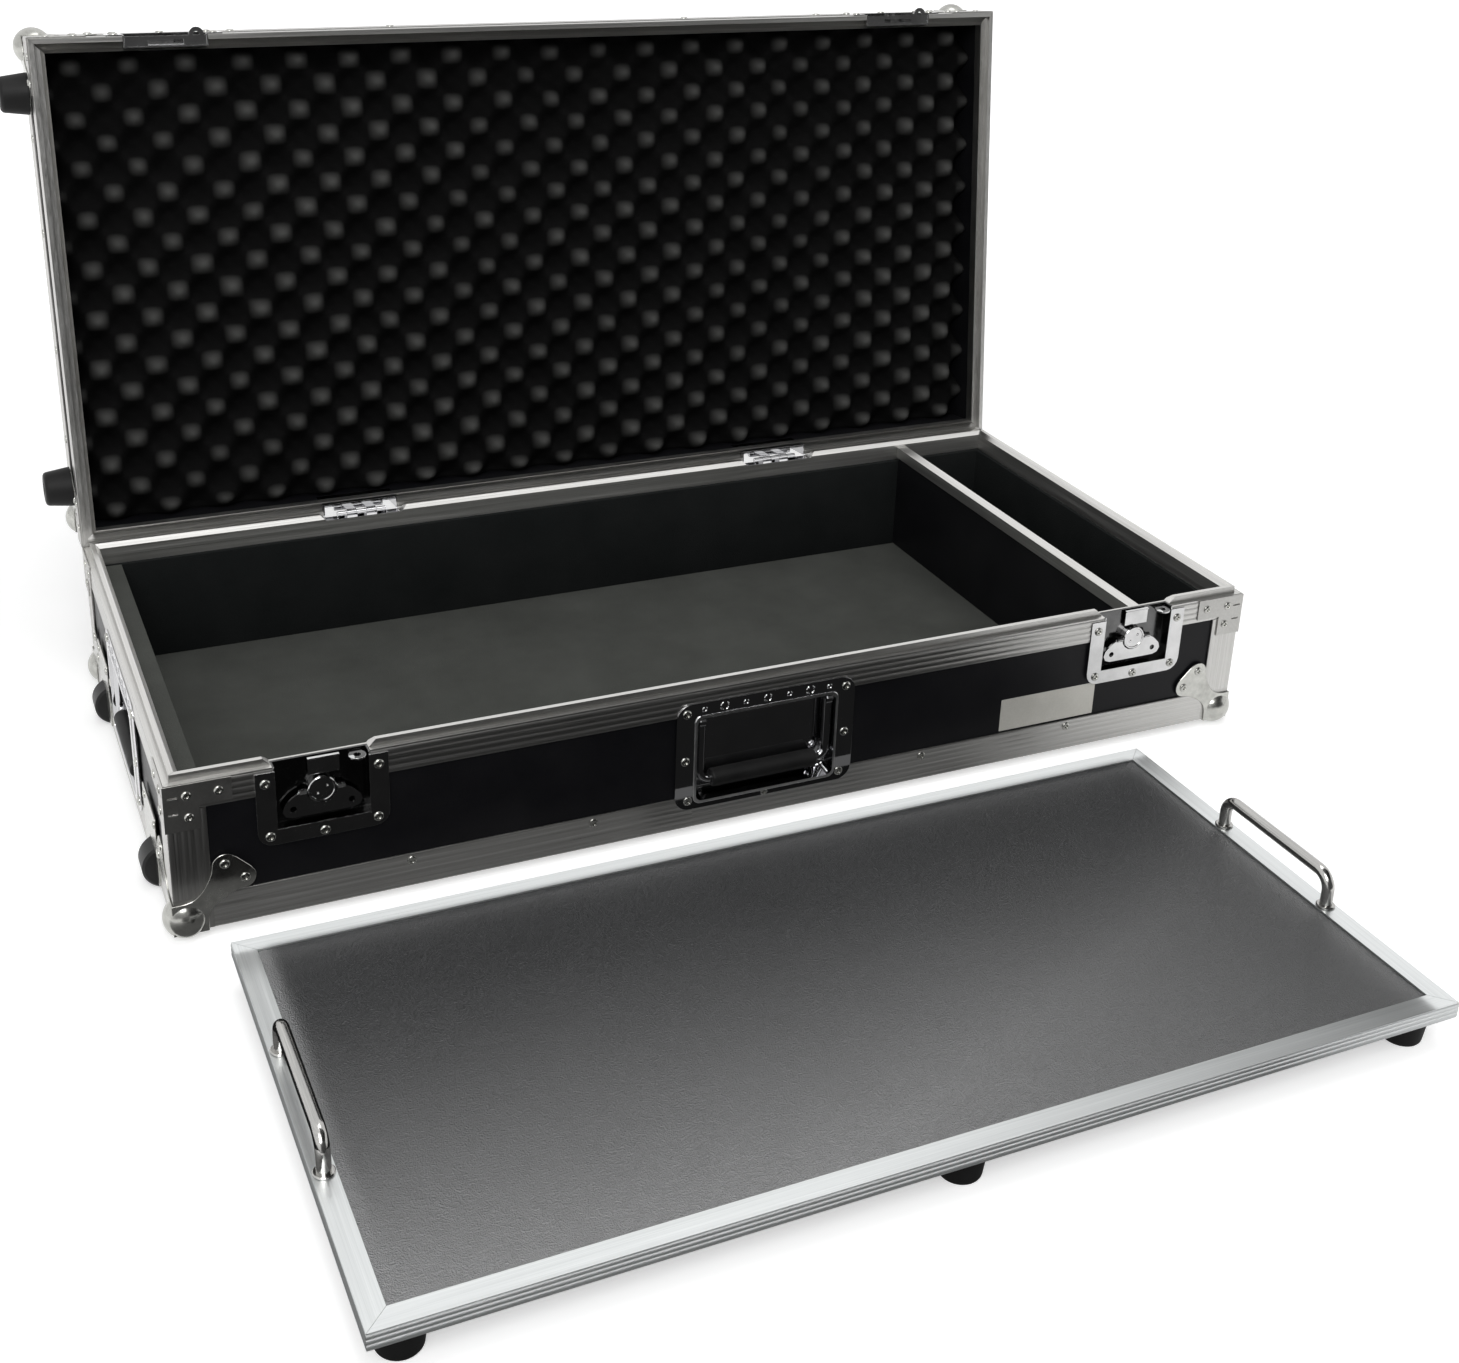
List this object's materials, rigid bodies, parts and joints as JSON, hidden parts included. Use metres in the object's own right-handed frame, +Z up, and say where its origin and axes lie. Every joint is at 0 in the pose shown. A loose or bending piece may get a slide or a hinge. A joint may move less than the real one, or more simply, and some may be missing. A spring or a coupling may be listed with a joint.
{
  "type": "guitar pedal case",
  "caption": "Low black road case on wheels with a hinged foam-lined lid, recessed latches and handles, a divided compartment, and a loose aluminium-edged pedalboard with bow handles.",
  "frame": {"origin": "on the floor, under the middle of the whole object's box: the open case with its pedalboard standing in front", "axes": "+X to the right along the case's front, +Y from the pedalboard towards the hinged back, +Z up from the floor"},
  "size_m": [1.0368, 1.087, 0.6164],
  "materials": {
    "black_laminate": "laminated plywood with a black face",
    "textured_laminate": "laminated plywood with a textured black face",
    "satin_aluminium": "satin anodised extrusion with lengthwise grooves",
    "chrome": "bright chrome plate on pressed steel",
    "zinc_steel": "zinc plated pressed steel",
    "stainless": "brushed stainless rod",
    "black_rubber": "matte moulded rubber",
    "black_plastic": "moulded wheel plastic",
    "grey_foam": "dark grey sheet foam",
    "black_foam": "open cell foam"
  },
  "bodies": {
    "base": {"base_bottom_panel": "black_laminate", "base_front_panel": "black_laminate", "base_back_panel": "black_laminate", "base_left_panel": "black_laminate", "base_right_panel": "black_laminate", "base_rim": "satin_aluminium", "base_edging": "satin_aluminium", "base_ball_corner_front_left": "zinc_steel", "base_ball_corner_front_right": "zinc_steel", "base_ball_corner_back_left": "zinc_steel", "base_ball_corner_back_right": "zinc_steel", "front_handle_dish": "chrome", "end_handle_dish": "chrome", "left_latch_dish": "chrome", "right_latch_dish": "chrome", "left_hinge_base_leaf": "chrome", "right_hinge_base_leaf": "chrome", "front_wheel_cup": "zinc_steel", "back_wheel_cup": "zinc_steel", "divider_panel": "black_laminate", "divider_cap": "satin_aluminium", "floor_and_end_foam": "grey_foam", "wall_lining": "black_foam"},
    "lid": {"lid_top_panel": "black_laminate", "lid_wall_frame": "black_laminate", "lid_rim": "satin_aluminium", "lid_edging": "satin_aluminium", "lid_ball_corner_front_left": "zinc_steel", "lid_ball_corner_front_right": "zinc_steel", "lid_ball_corner_back_left": "zinc_steel", "lid_ball_corner_back_right": "zinc_steel", "left_lid_catch": "chrome", "right_lid_catch": "chrome", "left_hinge_lid_leaf": "chrome", "right_hinge_lid_leaf": "chrome", "lid_foam": "black_foam", "lid_front_end_foot": "black_rubber", "lid_back_end_foot": "black_rubber"},
    "front_bail": {"front_handle_bail": "chrome", "front_handle_grip": "black_rubber"},
    "end_bail": {"end_handle_bail": "chrome", "end_handle_grip": "black_rubber"},
    "front_wheel": {"front_wheel": "black_plastic"},
    "back_wheel": {"back_wheel": "black_plastic"},
    "left_spindle": {"left_latch_spindle": "chrome"},
    "left_wing": {"left_latch_wing": "chrome"},
    "left_hook": {"left_latch_hook": "chrome"},
    "right_spindle": {"right_latch_spindle": "chrome"},
    "right_wing": {"right_latch_wing": "chrome"},
    "right_hook": {"right_latch_hook": "chrome"},
    "board": {"board_panel": "textured_laminate", "board_edging": "satin_aluminium", "board_left_handle": "stainless", "board_right_handle": "stainless", "board_foot_front_left": "black_rubber", "board_foot_front_middle": "black_rubber", "board_foot_front_right": "black_rubber", "board_foot_back_left": "black_rubber", "board_foot_back_middle": "black_rubber", "board_foot_back_right": "black_rubber"}
  },
  "joints": [
    {"name": "lid_swing", "type": "hinge", "parent": "base", "child": "lid", "pos_m": [0.0094, 0.39981, 0.13935], "axis": [1, 0, 0], "range_deg": [0, 96.5]},
    {"name": "front_bail_swing", "type": "hinge", "parent": "base", "child": "front_bail", "pos_m": [0.0094, -0.07019, 0.1085], "axis": [-1, 0, 0], "range_deg": [0, 90], "stiffness_Nm_per_rad": 0.3, "springref_deg": -5.73},
    {"name": "end_bail_swing", "type": "hinge", "parent": "base", "child": "end_bail", "pos_m": [-0.4882, 0.16291, 0.1085], "axis": [0, 1, 0], "range_deg": [0, 90], "stiffness_Nm_per_rad": 0.3, "springref_deg": -5.73},
    {"name": "front_wheel_roll", "type": "hinge", "parent": "base", "child": "front_wheel", "pos_m": [-0.4846, 0.01791, 0.0198], "axis": [0, 1, 0], "continuous": true},
    {"name": "back_wheel_roll", "type": "hinge", "parent": "base", "child": "back_wheel", "pos_m": [-0.4846, 0.30791, 0.0198], "axis": [0, 1, 0], "continuous": true},
    {"name": "left_latch_turn", "type": "hinge", "parent": "base", "child": "left_spindle", "pos_m": [-0.3726, -0.07359, 0.111], "axis": [0, 1, 0], "range_deg": [0, 90]},
    {"name": "left_wing_fold", "type": "hinge", "parent": "left_spindle", "child": "left_wing", "pos_m": [-0.3726, -0.06959, 0.111], "axis": [-1, 0, 0], "range_deg": [0, 90]},
    {"name": "left_hook_lift", "type": "slide", "parent": "base", "child": "left_hook", "axis": [0, 0, 1], "range_m": [0, 0.0081]},
    {"name": "right_latch_turn", "type": "hinge", "parent": "base", "child": "right_spindle", "pos_m": [0.3914, -0.07359, 0.111], "axis": [0, 1, 0], "range_deg": [0, 90]},
    {"name": "right_wing_fold", "type": "hinge", "parent": "right_spindle", "child": "right_wing", "pos_m": [0.3914, -0.06959, 0.111], "axis": [-1, 0, 0], "range_deg": [0, 90]},
    {"name": "right_hook_lift", "type": "slide", "parent": "base", "child": "right_hook", "axis": [0, 0, 1], "range_m": [0, 0.0081]},
    {"name": "board_lift", "type": "slide", "parent": "base", "child": "board", "axis": [0, 0, 1], "range_m": [0, 0.3]}
  ],
  "couplings": [
    {"joint": "left_wing_fold", "follows": "left_latch_turn", "ratio": 1},
    {"joint": "left_hook_lift", "follows": "left_latch_turn", "m_per_rad": 0.005093},
    {"joint": "right_wing_fold", "follows": "right_latch_turn", "ratio": 1},
    {"joint": "right_hook_lift", "follows": "right_latch_turn", "m_per_rad": 0.005093}
  ]
}
